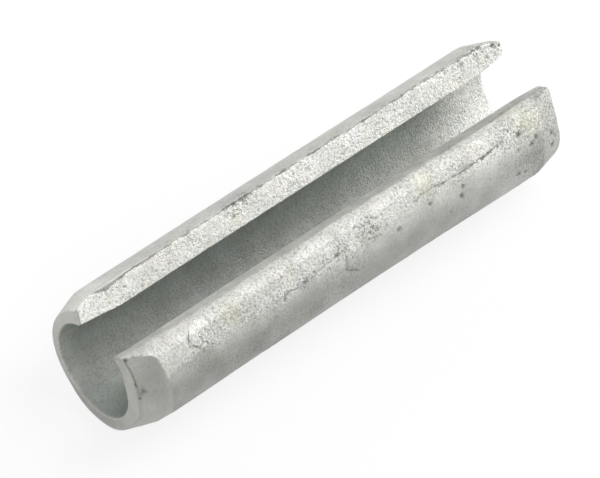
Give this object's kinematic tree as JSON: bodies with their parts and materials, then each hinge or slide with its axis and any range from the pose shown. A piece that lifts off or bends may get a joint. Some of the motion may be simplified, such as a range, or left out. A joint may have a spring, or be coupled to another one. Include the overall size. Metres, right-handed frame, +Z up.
{
  "type": "spring pin",
  "caption": "Slotted spring pin: a galvanised steel tube, open along one side, with chamfered ends and flared mouths, that is driven into a hole and grips it by springing outward.",
  "frame": {"origin": "on the pin's axis, midway between its two end faces", "axes": "+X along the pin's axis and its longest extent; +Z up, out through the middle of the slot; the pin lies on its back, opposite the slot"},
  "size_m": [0.04, 0.0106, 0.0097],
  "materials": {
    "galvanised_steel": "hot-dip galvanised spring steel: pale matt zinc grey, granular, with small pits, drips and dark specks, duller inside the bore"
  },
  "bodies": {
    "root": {"spring_pin": "galvanised_steel"}
  },
  "joints": []
}
